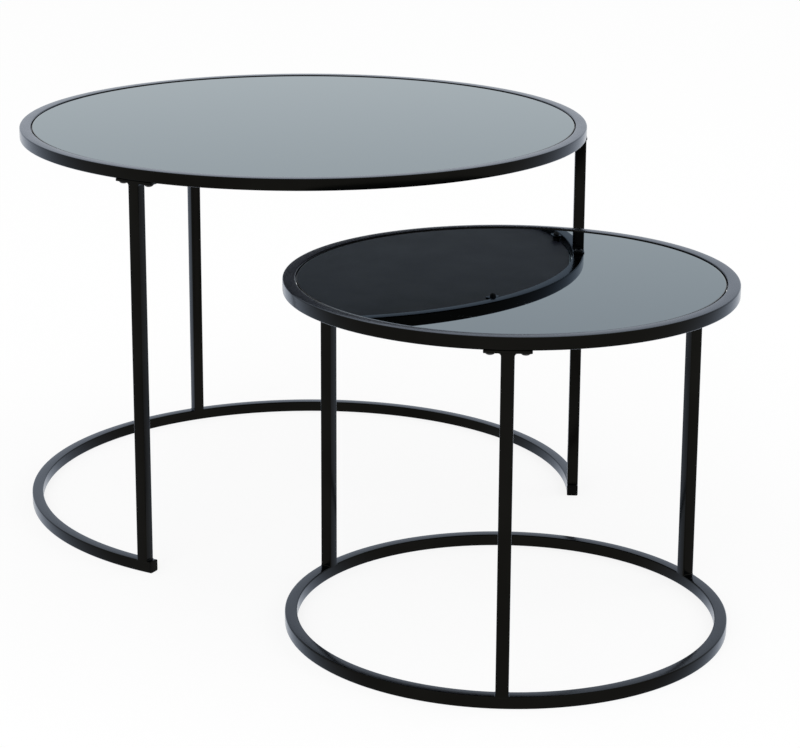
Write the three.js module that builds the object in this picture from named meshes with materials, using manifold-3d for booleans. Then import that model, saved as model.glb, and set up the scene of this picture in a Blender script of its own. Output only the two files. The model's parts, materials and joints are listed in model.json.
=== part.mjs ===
// Two round nesting tables. Each has a top frame ring with a loose glass top in it, three legs and a base
// ring. The large table's base ring is open at the front, so that the small table slides in under it.
// Millimetres, +Z up. The tables stand on z = 0, and the small one slides along +Y to nest.

import * as THREE from 'three';
import { mergeVertices } from 'three/addons/utils/BufferGeometryUtils.js';
import Module from 'manifold-3d';

const wasm = await Module();
wasm.setup();

// Overall sizes
const largeDiameter = 710;
const largeHeight = 490;
const nestSideGap = 44.5;     // free width each side when the small table passes the front legs
const nestHeadroom = 67.7;    // free height between the small top and the large table's screw heads
const shownOffset = 506;      // distance between the two tables' centres as they stand
const smallTurn = -1.7;       // degrees that the small table is turned on the floor

// Tubes
const ringTube = 14;
const ringWall = 1.5;
const ringCorner = 1;
const legTube = 14;
const legWall = 1.2;
const legCorner = 1;
const legCount = 3;
const legSpacing = 360 / legCount;
const firstLargeLeg = -30;    // degrees: the pair of front legs stands either side of -Y

// Open ends of the large base ring
const endOverhang = 6;        // from the leg's face to the outer face of the end plug
const plugFlange = 1.5;
const plugReach = 8;
const plugSlack = 0.5;        // each side of the sleeve, which is straight in a curved bore
const plugWall = 1.6;

// Leg plates, their screws and welds
const plateLength = 50;
const plateThickness = 3;
const plateCorner = 2;
const screwSpacing = 36;
const screwDiameter = 6;
const screwHead = 10.5;
const screwHeadHeight = 3.3;
const screwReach = 6;         // past the ring's lower wall
const collarDiameter = 9.6;   // the wall is drawn up round each screw hole, to hold the thread
const collarHeight = 3;
const plateWeld = 3.5;
const baseWeld = 2;
const ventDiameter = 7;       // lets the closed ring drain into the leg

// Glass and what carries it
const glassThickness = 5;
const glassRecess = 1;        // glass lies this far below the ring's top face
const glassEdgeGap = 1.5;
const glassArris = 0.6;       // ground edge
const tabCount = 6;
const firstTab = 15;          // degrees from a leg to the nearest tab
const tabWidth = 16;
const tabLength = 12;
const tabThickness = 2.5;
const tabCorner = 3;
const tabLift = 0.5;          // of the tab's lower face above the ring's
const bumperHead = 9;
const bumperStem = 4.4;
const bumperTail = 7.6;
const bumperTailHeight = 4.2;

const gap = 0.3;              // between cut or turned neighbours
const ringSteps = 76;
const smallSteps = 10;        // screws and bumpers
const holeSteps = 12;

// Sizes that follow
const largeRadius = largeDiameter / 2;
const legRingInset = ringTube / 2;
const passageHalf = (largeRadius - legRingInset) * Math.sin(radians(legSpacing / 2)) - legTube / 2;
const smallRadius = Math.round(passageHalf - nestSideGap);
const smallHeight = largeHeight - ringTube - plateThickness - screwHeadHeight - nestHeadroom;
const largeCentreY = (smallRadius + shownOffset - largeRadius) / 2;
const smallCentreY = largeCentreY - shownOffset;

const blackSteel = { color: 0x15140f, roughness: 0.45, metalness: 0.4 };
const blackScrew = { color: 0x1a1a1b, roughness: 0.35, metalness: 0.8 };
const smokedGlass = { color: 0x1a1d20, roughness: 0.03, metalness: 0 };
const blackPlastic = { color: 0x161616, roughness: 0.6, metalness: 0 };
const blackRubber = { color: 0x121212, roughness: 0.7, metalness: 0 };

const tables = new THREE.Group();

function radians(degrees) {
  return THREE.MathUtils.degToRad(degrees);
}

// Merges a closed geometry's shared corners and makes it a solid.
function solid(geometry) {
  const bare = geometry.clone();
  bare.deleteAttribute('normal');
  bare.deleteAttribute('uv');
  const merged = mergeVertices(bare, 1e-4);
  return new wasm.Manifold(new wasm.Mesh({
    numProp: 3,
    vertProperties: new Float32Array(merged.attributes.position.array),
    triVerts: new Uint32Array(merged.index.array),
  }));
}

function geometryOf(body) {
  const mesh = body.getMesh();
  const geometry = new THREE.BufferGeometry();
  geometry.setAttribute('position', new THREE.BufferAttribute(mesh.vertProperties, 3));
  geometry.setIndex(new THREE.BufferAttribute(mesh.triVerts, 1));
  geometry.computeVertexNormals();
  return geometry;
}

function addMesh(parent, name, geometry, finish) {
  const mesh = new THREE.Mesh(geometry, new THREE.MeshStandardMaterial(finish));
  mesh.name = name;
  parent.add(mesh);
  return mesh;
}

// Rectangle centred on the origin with rounded corners, as a closed outline.
function roundedRectangle(width, depth, corner, cornerSteps = 1) {
  const points = [];
  const centres = [[1, 1], [-1, 1], [-1, -1], [1, -1]];
  centres.forEach(([sx, sy], quarter) => {
    for (let step = 0; step <= cornerSteps; step += 1) {
      const angle = (quarter + step / cornerSteps) * Math.PI / 2;
      points.push(new THREE.Vector2(
        sx * (width / 2 - corner) + corner * Math.cos(angle),
        sy * (depth / 2 - corner) + corner * Math.sin(angle),
      ));
    }
  });
  return points;
}

function square(side) {
  const half = side / 2;
  const corners = [[half, half], [-half, half], [-half, -half], [half, -half]];
  return corners.map(([x, y]) => new THREE.Vector2(x, y));
}

// Revolves an outline about Z. The outline is in radius and height.
function revolve(points, steps) {
  return new THREE.LatheGeometry(points, steps).rotateX(Math.PI / 2);
}

function extrude(outline, depth, holes = []) {
  const shape = new THREE.Shape(outline);
  holes.forEach((hole) => shape.holes.push(new THREE.Path(hole)));
  return new THREE.ExtrudeGeometry(shape, { depth, bevelEnabled: false });
}

function circle(radius, x = 0) {
  const points = [];
  for (let step = 0; step < holeSteps; step += 1) {
    const angle = step / holeSteps * 2 * Math.PI;
    points.push(new THREE.Vector2(x + radius * Math.cos(angle), radius * Math.sin(angle)));
  }
  return points;
}

// Turns and moves a geometry from a leg's own axes to its place: x runs outwards, y along the ring.
function placed(geometry, radius, degrees, z) {
  return geometry.translate(radius, 0, z).rotateZ(radians(degrees));
}

// Centres an outline on the tube line and closes it for a revolve.
function ringProfile(outline, centreRadius, centreHeight) {
  const profile = outline.map((point) => new THREE.Vector2(point.x + centreRadius, point.y + centreHeight));
  profile.push(profile[0].clone());
  return profile;
}

// A square tube bent into a closed ring, with its bore as a sealed hollow until a hole is cut.
function tubeRing(centreRadius, centreHeight) {
  const outline = roundedRectangle(ringTube, ringTube, ringCorner);
  const boreOutline = square(ringTube - 2 * ringWall);
  const skin = solid(revolve(ringProfile(outline, centreRadius, centreHeight), ringSteps));
  const bore = solid(revolve(ringProfile(boreOutline, centreRadius, centreHeight), ringSteps));
  return skin.subtract(bore);
}

// Upright round bar at a place given in a leg's axes, from one height to another.
function roundBar(diameter, radius, alongRing, degrees, from, to) {
  const bar = extrude(circle(diameter / 2), to - from).translate(0, alongRing, 0);
  return solid(placed(bar, radius, degrees, from));
}

// Cuts the hole through the base ring's upper wall that opens into each leg.
function cutVents(ring, plan) {
  return plan.legs.reduce((body, degrees) => body.subtract(
    roundBar(ventDiameter, plan.lineRadius, 0, degrees, ringTube - 2 * ringWall, ringTube + ringWall),
  ), ring);
}

function screwPlaces() {
  return [-screwSpacing / 2, screwSpacing / 2];
}

// Where one table's pieces stand, worked out once from its radius and height.
function layout(name, radius, height, firstLeg) {
  const topRingBottom = height - ringTube;
  const tabTop = topRingBottom + tabLift + tabThickness;
  const glassBottom = height - glassRecess - glassThickness;
  const legs = Array.from({ length: legCount }, (_, index) => firstLeg + index * legSpacing);
  const tabs = Array.from({ length: tabCount }, (_, index) => firstLeg + firstTab + index * 360 / tabCount);
  return {
    name,
    legs,
    tabs,
    lineRadius: radius - legRingInset,
    innerRadius: radius - ringTube,
    topRingBottom,
    topRingMiddle: topRingBottom + ringTube / 2,
    plateBottom: topRingBottom - plateThickness,
    glassRadius: radius - ringTube - glassEdgeGap,
    glassBottom,
    tabTop,
    bumperHeadHeight: glassBottom - tabTop,
    tabHoleRadius: radius - ringTube - tabLength / 2,
  };
}

// Shelf for the glass, welded to the ring's inner wall, with the hole that its bumper snaps into.
function glassTab(plan, degrees) {
  const weldIn = ringWall / 2;
  const length = tabLength + weldIn;
  const outline = [
    new THREE.Vector2(length, -tabWidth / 2),
    new THREE.Vector2(length, tabWidth / 2),
  ];
  for (const [side, start] of [[1, 90], [-1, 180]]) {
    for (let step = 0; step <= 2; step += 1) {
      const angle = radians(start + step * 45);
      const y = side * (tabWidth / 2 - tabCorner) + tabCorner * Math.sin(angle);
      outline.push(new THREE.Vector2(tabCorner + tabCorner * Math.cos(angle), y));
    }
  }
  const hole = circle(bumperStem / 2 + gap, tabLength / 2);
  const shelf = extrude(outline, tabThickness, [hole]);
  return solid(placed(shelf, plan.innerRadius - tabLength, degrees, plan.tabTop - tabThickness));
}

function topFrame(plan) {
  let frame = tubeRing(plan.lineRadius, plan.topRingMiddle);
  plan.tabs.forEach((degrees) => {
    frame = frame.add(glassTab(plan, degrees));
  });
  const wallTop = plan.topRingBottom + ringWall;
  const collarTop = wallTop + collarHeight;
  plan.legs.forEach((degrees) => {
    screwPlaces().forEach((along) => {
      const place = [plan.lineRadius, along, degrees];
      const collar = roundBar(collarDiameter, ...place, wallTop - ringWall / 2, collarTop);
      const hole = roundBar(screwDiameter + 2 * gap, ...place, plan.topRingBottom - 1, collarTop + 1);
      frame = frame.add(collar).subtract(hole);
    });
  });
  return geometryOf(frame);
}

// Flat disc with a ground arris along both edges.
function glassTop(plan) {
  const radius = plan.glassRadius;
  const top = glassThickness;
  const profile = [
    [0, 0],
    [radius - glassArris, 0],
    [radius, glassArris],
    [radius, top - glassArris],
    [radius - glassArris, top],
    [0, top],
  ].map(([x, y]) => new THREE.Vector2(x, y));
  return revolve(profile, ringSteps).translate(0, 0, plan.glassBottom);
}

// Outline of a dome that hangs from a flat seat, from its lowest point to the seat's edge.
function hangingDome(diameter, height, seat) {
  const bands = 2;
  return Array.from({ length: bands + 1 }, (_, band) => {
    const angle = band / bands * Math.PI / 2;
    return new THREE.Vector2(diameter / 2 * Math.sin(angle), seat - height * Math.cos(angle));
  });
}

// Push-in bumper: flat head under the glass, stem through the tab, round tail below it.
function glassBumper(plan) {
  const seat = -tabThickness - gap;
  const profile = hangingDome(bumperTail, bumperTailHeight, seat);
  profile.push(
    new THREE.Vector2(bumperStem / 2, seat),
    new THREE.Vector2(bumperStem / 2, 0),
    new THREE.Vector2(bumperHead / 2, 0),
    new THREE.Vector2(bumperHead / 2, plan.bumperHeadHeight),
    new THREE.Vector2(0, plan.bumperHeadHeight),
  );
  return revolve(profile, smallSteps);
}

// Closed base ring of the small table: it vents into each leg, inside the leg's foot.
function closedBaseRing(plan) {
  return geometryOf(cutVents(tubeRing(plan.lineRadius, ringTube / 2), plan));
}

class RingArc extends THREE.Curve {
  constructor(radius, startDegrees, endDegrees) {
    super();
    this.radius = radius;
    this.start = radians(startDegrees);
    this.sweep = radians(endDegrees - startDegrees);
  }

  getPoint(t, target = new THREE.Vector3()) {
    const angle = this.start + this.sweep * t;
    return target.set(this.radius * Math.cos(angle), this.radius * Math.sin(angle), 0);
  }
}

// Angle at the tube line from a leg's middle to a place past its face.
function anglePastLeg(plan, distance) {
  return THREE.MathUtils.radToDeg((legTube / 2 + distance) / plan.lineRadius);
}

function ringEnds(plan) {
  const past = anglePastLeg(plan, endOverhang - plugFlange - gap);
  return { start: plan.legs[0] - past, end: plan.legs[legCount - 1] + past };
}

// Open base ring of the large table: the same tube bent through two thirds of a turn.
function openBaseRing(plan) {
  const ends = ringEnds(plan);
  const shape = new THREE.Shape(roundedRectangle(ringTube, ringTube, ringCorner));
  shape.holes.push(new THREE.Path(square(ringTube - 2 * ringWall)));
  const steps = Math.ceil(ringSteps * (ends.end - ends.start) / 360);
  const tube = new THREE.ExtrudeGeometry(shape, {
    steps,
    bevelEnabled: false,
    extrudePath: new RingArc(plan.lineRadius, ends.start, ends.end),
  });
  return geometryOf(cutVents(solid(tube.translate(0, 0, ringTube / 2)), plan));
}

// Plastic plug with the tube's end at z = 0: a hollow sleeve in the bore below, and a flange over the end.
function endPlug() {
  const sleeveSide = ringTube - 2 * ringWall - 2 * plugSlack;
  const sleeveOutline = roundedRectangle(sleeveSide, sleeveSide, ringCorner);
  const sleeve = extrude(sleeveOutline, plugReach + gap + plugFlange / 2).translate(0, 0, -plugReach);
  const hollow = extrude(square(sleeveSide - 2 * plugWall), plugReach).translate(0, 0, -plugReach - 1);
  const flange = extrude(roundedRectangle(ringTube, ringTube, ringCorner), plugFlange).translate(0, 0, gap);
  return geometryOf(solid(sleeve).subtract(solid(hollow)).add(solid(flange)));
}

// Concave weld along the two faces of a leg that look along the ring.
function legWelds(size, z, upright) {
  const outline = [new THREE.Vector2(-legWall / 2, 0), new THREE.Vector2(size, 0)];
  for (let step = 1; step <= 3; step += 1) {
    const angle = step * Math.PI / 6;
    outline.push(new THREE.Vector2(size - size * Math.sin(angle), size - size * Math.cos(angle)));
  }
  outline.push(new THREE.Vector2(-legWall / 2, size));
  const length = legTube - 2 * legCorner;
  return [1, -1].map((side) => {
    const weld = extrude(outline, length).translate(0, 0, -length / 2);
    weld.rotateX(Math.PI / 2);
    if (upright < 0) weld.rotateX(Math.PI);
    weld.rotateZ(side * Math.PI / 2);
    weld.translate(0, side * legTube / 2, z);
    return solid(weld);
  });
}

// One leg about its own axis, from the base ring's top face to the plate.
function leg(plan) {
  const length = plan.plateBottom - ringTube;
  let body = solid(extrude(roundedRectangle(legTube, legTube, legCorner), length));
  legWelds(plateWeld, length, -1).forEach((weld) => {
    body = body.add(weld);
  });
  legWelds(baseWeld, 0, 1).forEach((weld) => {
    body = body.add(weld);
  });
  const boreSide = legTube - 2 * legWall;
  const bore = solid(extrude(square(boreSide), length + 2).translate(0, 0, -1));
  return geometryOf(body.subtract(bore));
}

// Flat bar welded on the leg, with the two holes of its screws; y runs along the ring.
function legPlate() {
  const holes = screwPlaces().map((along) => circle(screwDiameter / 2 + gap, along));
  const bar = extrude(roundedRectangle(plateLength, legTube, plateCorner, 2), plateThickness, holes);
  return bar.rotateZ(Math.PI / 2);
}

// Dome-head screw, head down, with its seat at z = 0.
function plateScrew() {
  const profile = hangingDome(screwHead, screwHeadHeight, 0);
  const tip = plateThickness + ringWall + screwReach;
  profile.push(
    new THREE.Vector2(screwDiameter / 2, 0),
    new THREE.Vector2(screwDiameter / 2, tip),
    new THREE.Vector2(0, tip),
  );
  return revolve(profile, smallSteps);
}

function addLegs(group, plan) {
  plan.legs.forEach((degrees, index) => {
    const number = index + 1;
    const station = new THREE.Group();
    station.rotation.z = radians(degrees);
    group.add(station);
    const upright = addMesh(station, `${plan.name}_leg_${number}`, leg(plan), blackSteel);
    upright.position.set(plan.lineRadius, 0, ringTube);
    const plate = addMesh(station, `${plan.name}_leg_plate_${number}`, legPlate(), blackSteel);
    plate.position.set(plan.lineRadius, 0, plan.plateBottom);
    screwPlaces().forEach((along, place) => {
      const name = `${plan.name}_plate_screw_${number}${'ab'[place]}`;
      const screw = addMesh(station, name, plateScrew(), blackScrew);
      screw.position.set(plan.lineRadius, along, plan.plateBottom);
    });
  });
}

function addTop(group, plan) {
  addMesh(group, `${plan.name}_top_frame`, topFrame(plan), blackSteel);
  addMesh(group, `${plan.name}_glass_top`, glassTop(plan), smokedGlass);
  plan.tabs.forEach((degrees, index) => {
    const station = new THREE.Group();
    station.rotation.z = radians(degrees);
    group.add(station);
    const bumper = addMesh(station, `${plan.name}_glass_bumper_${index + 1}`, glassBumper(plan), blackRubber);
    bumper.position.set(plan.tabHoleRadius, 0, plan.tabTop);
  });
}

function largeTable() {
  const plan = layout('large', largeRadius, largeHeight, firstLargeLeg);
  const group = new THREE.Group();
  addTop(group, plan);
  addLegs(group, plan);
  addMesh(group, 'large_base_ring', openBaseRing(plan), blackSteel);
  const ends = ringEnds(plan);
  [['a', ends.start, -1], ['b', ends.end, 1]].forEach(([letter, degrees, side]) => {
    const station = new THREE.Group();
    station.rotation.z = radians(degrees);
    group.add(station);
    const plug = addMesh(station, `large_base_plug_${letter}`, endPlug(), blackPlastic);
    plug.position.set(plan.lineRadius, 0, ringTube / 2);
    plug.rotation.x = -side * Math.PI / 2;
  });
  group.position.y = largeCentreY;
  return group;
}

function smallTable() {
  const plan = layout('small', smallRadius, smallHeight, smallTurn);
  const group = new THREE.Group();
  addTop(group, plan);
  addLegs(group, plan);
  addMesh(group, 'small_base_ring', closedBaseRing(plan), blackSteel);
  group.position.y = smallCentreY;
  return group;
}

tables.add(largeTable(), smallTable());

export default tables;
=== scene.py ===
import json
import math
import bmesh
import bpy
from mathutils import Euler, Matrix, Vector

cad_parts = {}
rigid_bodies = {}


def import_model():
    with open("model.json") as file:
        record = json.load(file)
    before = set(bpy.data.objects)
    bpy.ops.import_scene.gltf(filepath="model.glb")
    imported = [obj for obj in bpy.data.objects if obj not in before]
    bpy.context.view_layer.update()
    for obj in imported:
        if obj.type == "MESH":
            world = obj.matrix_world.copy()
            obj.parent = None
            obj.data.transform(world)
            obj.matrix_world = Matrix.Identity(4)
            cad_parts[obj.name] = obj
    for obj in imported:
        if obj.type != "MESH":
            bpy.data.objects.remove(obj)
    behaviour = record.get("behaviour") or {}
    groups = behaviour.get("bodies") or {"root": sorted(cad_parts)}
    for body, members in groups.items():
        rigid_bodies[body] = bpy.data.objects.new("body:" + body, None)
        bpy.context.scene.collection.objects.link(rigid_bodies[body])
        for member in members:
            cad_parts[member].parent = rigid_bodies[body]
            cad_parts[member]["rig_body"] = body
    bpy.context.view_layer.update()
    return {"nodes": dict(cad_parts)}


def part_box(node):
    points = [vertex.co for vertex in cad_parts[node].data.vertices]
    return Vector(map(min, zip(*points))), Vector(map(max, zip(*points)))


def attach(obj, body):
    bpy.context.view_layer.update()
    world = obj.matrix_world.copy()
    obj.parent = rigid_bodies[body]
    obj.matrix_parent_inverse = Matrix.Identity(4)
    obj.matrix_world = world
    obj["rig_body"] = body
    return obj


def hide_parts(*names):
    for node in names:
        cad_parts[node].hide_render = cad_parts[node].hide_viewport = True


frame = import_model()
fullTurn = 2 * math.pi
almostOne = 0.99        # of a unit direction, when an edge or a face is told by where it points
samePlace = 0.00001     # two heights nearer than this are the same
mergeWithin = 0.000001  # corners nearer than this are merged
nearPole = 0.96         # how far round a quarter circle the rows of arcRows go


# Hand tools: selecting, editing and finishing a piece

def deselectAll():
    if bpy.context.mode != "OBJECT":
        bpy.ops.object.mode_set(mode="OBJECT")
    bpy.ops.object.select_all(action="DESELECT")


def makeActive(piece):
    deselectAll()
    piece.select_set(True)
    bpy.context.view_layer.objects.active = piece


def named(name):
    # names the primitive that was just added
    piece = bpy.context.active_object
    piece.name = name
    piece.data.name = name
    return piece


def freezePlace(piece):
    makeActive(piece)
    bpy.ops.object.transform_apply(location=True, rotation=True, scale=True)


def openMesh(piece):
    makeActive(piece)
    bpy.ops.object.mode_set(mode="EDIT")
    bpy.ops.mesh.select_all(action="DESELECT")


def closeMesh():
    bpy.ops.object.mode_set(mode="OBJECT")


def pick(piece, kind, test):
    # selects the verts, edges or faces that pass the test, and nothing else
    bpy.ops.mesh.select_mode(type={"verts": "VERT", "edges": "EDGE", "faces": "FACE"}[kind])
    bpy.ops.mesh.select_all(action="DESELECT")
    mesh = bmesh.from_edit_mesh(piece.data)
    for part in getattr(mesh, kind):
        if test(part):
            part.select_set(True)
    mesh.select_flush_mode()
    bmesh.update_edit_mesh(piece.data)


def middle(edge):
    return (edge.verts[0].co + edge.verts[1].co) / 2


def near(first, second):
    return abs(first - second) < samePlace


def isLevel(edge):
    return near(edge.verts[0].co.z, edge.verts[1].co.z)


def runsAlong(edge, axis):
    line = (edge.verts[1].co - edge.verts[0].co).normalized()
    return abs(line[axis]) > almostOne


def liesFlat(face):
    # it looks straight up or straight down
    return abs(face.normal.z) > almostOne


def extruded(x=0.0, y=0.0, z=0.0):
    bpy.ops.mesh.extrude_region_move(TRANSFORM_OT_translate={"value": (x, y, z)})


def resized(x, y, z, centre):
    bpy.ops.transform.resize(value=(x, y, z), center_override=centre)


def applied(piece, kind, **settings):
    makeActive(piece)
    modifier = piece.modifiers.new(kind.title(), kind)
    for name, value in settings.items():
        setattr(modifier, name, value)
    bpy.ops.object.modifier_apply(modifier=modifier.name)


def drop(piece):
    bpy.data.objects.remove(piece, do_unlink=True)


def cutBy(piece, cutter):
    applied(piece, "BOOLEAN", operation="DIFFERENCE", solver="EXACT", object=cutter)
    drop(cutter)


def grownBy(piece, other):
    applied(piece, "BOOLEAN", operation="UNION", solver="EXACT", object=other)
    drop(other)


def tidied(piece, sharpDegrees=35):
    openMesh(piece)
    bpy.ops.mesh.select_all(action="SELECT")
    bpy.ops.mesh.remove_doubles(threshold=mergeWithin)
    bpy.ops.mesh.normals_make_consistent(inside=False)
    closeMesh()
    makeActive(piece)
    bpy.ops.object.shade_smooth_by_angle(angle=math.radians(sharpDegrees))
    return piece


def moved(piece, matrix):
    piece.data.transform(matrix)
    piece.data.update()
    return piece


def copied(piece, name, matrix):
    twin = piece.copy()
    twin.data = piece.data.copy()
    twin.name = name
    twin.data.name = name
    bpy.context.scene.collection.objects.link(twin)
    return moved(twin, matrix)


def finished(piece, materials, body, nodes=()):
    # gives a piece its materials and the body that carries it, and hides the CAD nodes that it stands for
    piece.data.materials.clear()
    for material in materials:
        piece.data.materials.append(material)
    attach(piece, body)
    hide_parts(*nodes)


def stacked(rows, width):
    # draws the picked end face through rows of width and height; width is what it has now
    height = rows[0][1]
    for newWidth, newHeight in rows[1:]:
        extruded(z=newHeight - height)
        ratio = newWidth / width
        resized(ratio, ratio, 1, (0, 0, newHeight))
        width, height = newWidth, newHeight


def turnedPiece(name, outline, sides):
    # a round piece about Z: rows of radius and height, from one flat end to the other
    deselectAll()
    radius, height = outline[0]
    start = (0, 0, height)
    bpy.ops.mesh.primitive_circle_add(vertices=sides, radius=radius, fill_type="NGON", location=start)
    piece = named(name)
    freezePlace(piece)
    openMesh(piece)
    pick(piece, "faces", lambda face: True)
    stacked(outline, radius)
    closeMesh()
    return piece


def arcRows(radius, height, base, steps, rising):
    # rows of a quarter round from its edge to near its pole, for turnedPiece
    rows = []
    for step in range(steps + 1):
        angle = step / steps * math.pi / 2 * nearPole
        rows.append((radius * math.cos(angle), base + rising * height * math.sin(angle)))
    return rows


# What stands where, read from the frame

def boxMiddle(node):
    low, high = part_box(node)
    return (low + high) / 2


boxMargin = 0.000002    # keeps the rounded rings inside the model's box


def tablePlan(name):
    ringLow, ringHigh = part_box(name + "_top_frame")
    glassLow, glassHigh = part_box(name + "_glass_top")
    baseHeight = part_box(name + "_base_ring")[1].z
    plateLow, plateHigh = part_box(name + "_leg_plate_1")
    screwLow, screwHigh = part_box(name + "_plate_screw_1a")
    bumperLow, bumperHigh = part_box(name + "_glass_bumper_1")
    centre = (ringLow + ringHigh) / 2
    outside = (ringHigh.x - ringLow.x) / 2 - boxMargin

    def bearing(node):
        away = boxMiddle(node) - centre
        return math.atan2(away.y, away.x)

    seat = boxMiddle(name + "_glass_bumper_1") - centre
    return {
        "name": name,
        "body": frame["nodes"][name + "_top_frame"]["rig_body"],
        "centre": centre,
        "tube": baseHeight,
        "line": outside - baseHeight / 2,
        "ringBottom": ringLow.z,
        "glassRadius": (glassHigh.x - glassLow.x) / 2,
        "glassBottom": glassLow.z,
        "glassTop": glassHigh.z,
        "plateBottom": plateLow.z,
        "plateTop": plateHigh.z,
        "screwHeadBottom": screwLow.z,
        "screwTip": screwHigh.z,
        "bumperBottom": bumperLow.z,
        "bumperTop": bumperHigh.z,
        "bumperRadius": math.hypot(seat.x, seat.y),
        "legs": [bearing(f"{name}_leg_{number}") for number in (1, 2, 3)],
        "bumpers": [bearing(f"{name}_glass_bumper_{number}") for number in range(1, 7)],
    }


def onTable(plan, angle, radius=0.0, along=0.0, height=0.0):
    # from a piece's own axes, x outwards and y along the ring, to its place on the table
    centre = Matrix.Translation((plan["centre"].x, plan["centre"].y, height))
    return centre @ Matrix.Rotation(angle, 4, "Z") @ Matrix.Translation((radius, along, 0))


plans = [tablePlan("large"), tablePlan("small")]


# Materials

def node(tree, kind, **settings):
    made = tree.nodes.new(kind)
    for name, value in settings.items():
        setattr(made, name, value)
    return made


def feed(tree, target, source):
    # a socket gets a link from another socket, or a plain value
    if isinstance(source, bpy.types.NodeSocket):
        tree.links.new(source, target)
    else:
        target.default_value = source


def maths(tree, operation, *values):
    made = node(tree, "ShaderNodeMath", operation=operation)
    for socket, value in zip(made.inputs, values):
        feed(tree, socket, value)
    return made.outputs[0]


def ranged(tree, value, low, high, newLow, newHigh, smooth=False):
    made = node(tree, "ShaderNodeMapRange", interpolation_type="SMOOTHSTEP" if smooth else "LINEAR")
    entries = {"Value": value, "From Min": low, "From Max": high, "To Min": newLow, "To Max": newHigh}
    for name, entry in entries.items():
        feed(tree, made.inputs[name], entry)
    return made.outputs[0]


def noise(tree, vector, scale, detail=2.0, roughness=0.5):
    made = node(tree, "ShaderNodeTexNoise")
    feed(tree, made.inputs["Vector"], vector)
    feed(tree, made.inputs["Scale"], scale)
    made.inputs["Detail"].default_value = detail
    made.inputs["Roughness"].default_value = roughness
    return made.outputs["Fac"]


def blended(tree, factor, first, second):
    made = node(tree, "ShaderNodeMix", data_type="RGBA")
    feed(tree, made.inputs[0], factor)
    feed(tree, made.inputs[6], first)
    feed(tree, made.inputs[7], second)
    return made.outputs[2]


def objectPlace(tree):
    return node(tree, "ShaderNodeTexCoord").outputs["Object"]


def effectGroup(name, inputs, outputs):
    # an empty node group with named number inputs and outputs
    group = bpy.data.node_groups.new(name, "ShaderNodeTree")
    for label, value in inputs.items():
        socket = group.interface.new_socket(name=label, in_out="INPUT", socket_type="NodeSocketFloat")
        socket.default_value = value
    for label in outputs:
        group.interface.new_socket(name=label, in_out="OUTPUT", socket_type="NodeSocketFloat")
    return group, group.nodes.new("NodeGroupInput").outputs, group.nodes.new("NodeGroupOutput").inputs


def makeCoatPeel():
    # sprayed coat: the soft dimples of the dried film, a fine grain and slow changes of tone and gloss
    group, given, out = effectGroup(
        "coatPeel",
        {"Dimple Scale": 420.0, "Grain Scale": 2600.0, "Grain Share": 0.25, "Tone Scale": 9.0},
        ("Tone", "Gloss", "Height"),
    )
    place = objectPlace(group)
    dimples = noise(group, place, given["Dimple Scale"], 1.0, 0.4)
    grain = noise(group, place, given["Grain Scale"], 2.0, 0.6)
    slow = noise(group, place, given["Tone Scale"], 3.0, 0.55)
    patches = noise(group, place, maths(group, "MULTIPLY", given["Tone Scale"], 4.3), 2.0, 0.5)
    fine = maths(group, "MULTIPLY", grain, given["Grain Share"])
    feed(group, out["Height"], maths(group, "ADD", dimples, fine))
    feed(group, out["Tone"], ranged(group, slow, 0.3, 0.7, 0.0, 1.0))
    mixed = maths(group, "ADD", maths(group, "MULTIPLY", patches, 0.6), maths(group, "MULTIPLY", grain, 0.4))
    feed(group, out["Gloss"], ranged(group, mixed, 0.35, 0.65, 0.0, 1.0))
    return group


def makeEdgeWearAndSheen():
    # a thin broken line along the outer edges: where a film is thinner and gets rubbed, and also a painted
    # highlight where rounded edges would catch light
    group, given, out = effectGroup(
        "edgeWear", {"Width": 0.0012, "Break Scale": 90.0, "Amount": 0.5}, ("Mask",)
    )
    rounded = node(group, "ShaderNodeBevel", samples=6)
    feed(group, rounded.inputs["Radius"], given["Width"])
    surface = node(group, "ShaderNodeNewGeometry")
    dot = node(group, "ShaderNodeVectorMath", operation="DOT_PRODUCT")
    feed(group, dot.inputs[0], rounded.outputs["Normal"])
    feed(group, dot.inputs[1], surface.outputs["Normal"])
    turnedBy = maths(group, "SUBTRACT", 1.0, dot.outputs["Value"])
    edge = ranged(group, turnedBy, 0.02, 0.22, 0.0, 1.0, True)
    patches = noise(group, objectPlace(group), given["Break Scale"], 4.0, 0.6)
    breaks = ranged(group, patches, 0.42, 0.62, 0.15, 1.0, True)
    broken = maths(group, "MULTIPLY", edge, breaks)
    feed(group, out["Mask"], maths(group, "MULTIPLY", broken, given["Amount"]))
    return group


def makeDustFilm():
    # a thin film and a few flecks of dust on faces that look up
    group, given, out = effectGroup(
        "dustFilm", {"Film": 0.3, "Flecks": 0.5, "Fleck Scale": 700.0}, ("Mask",)
    )
    place = objectPlace(group)
    parts = node(group, "ShaderNodeSeparateXYZ")
    feed(group, parts.inputs[0], node(group, "ShaderNodeNewGeometry").outputs["Normal"])
    upward = ranged(group, parts.outputs["Z"], 0.55, 0.98, 0.0, 1.0, True)
    drift = ranged(group, noise(group, place, 14.0, 4.0, 0.6), 0.35, 0.75, 0.25, 1.0)
    cells = node(group, "ShaderNodeTexVoronoi", feature="F1")
    feed(group, cells.inputs["Vector"], place)
    feed(group, cells.inputs["Scale"], given["Fleck Scale"])
    cells.inputs["Randomness"].default_value = 1.0
    fleck = ranged(group, cells.outputs["Distance"], 0.05, 0.14, 1.0, 0.0, True)
    chosen = ranged(group, noise(group, place, 160.0, 1.0, 0.5), 0.62, 0.7, 0.0, 1.0)
    flecks = maths(group, "MULTIPLY", maths(group, "MULTIPLY", fleck, chosen), given["Flecks"])
    film = maths(group, "MULTIPLY", drift, given["Film"])
    both = maths(group, "ADD", film, flecks)
    feed(group, out["Mask"], maths(group, "MULTIPLY", both, upward))
    return group


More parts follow.
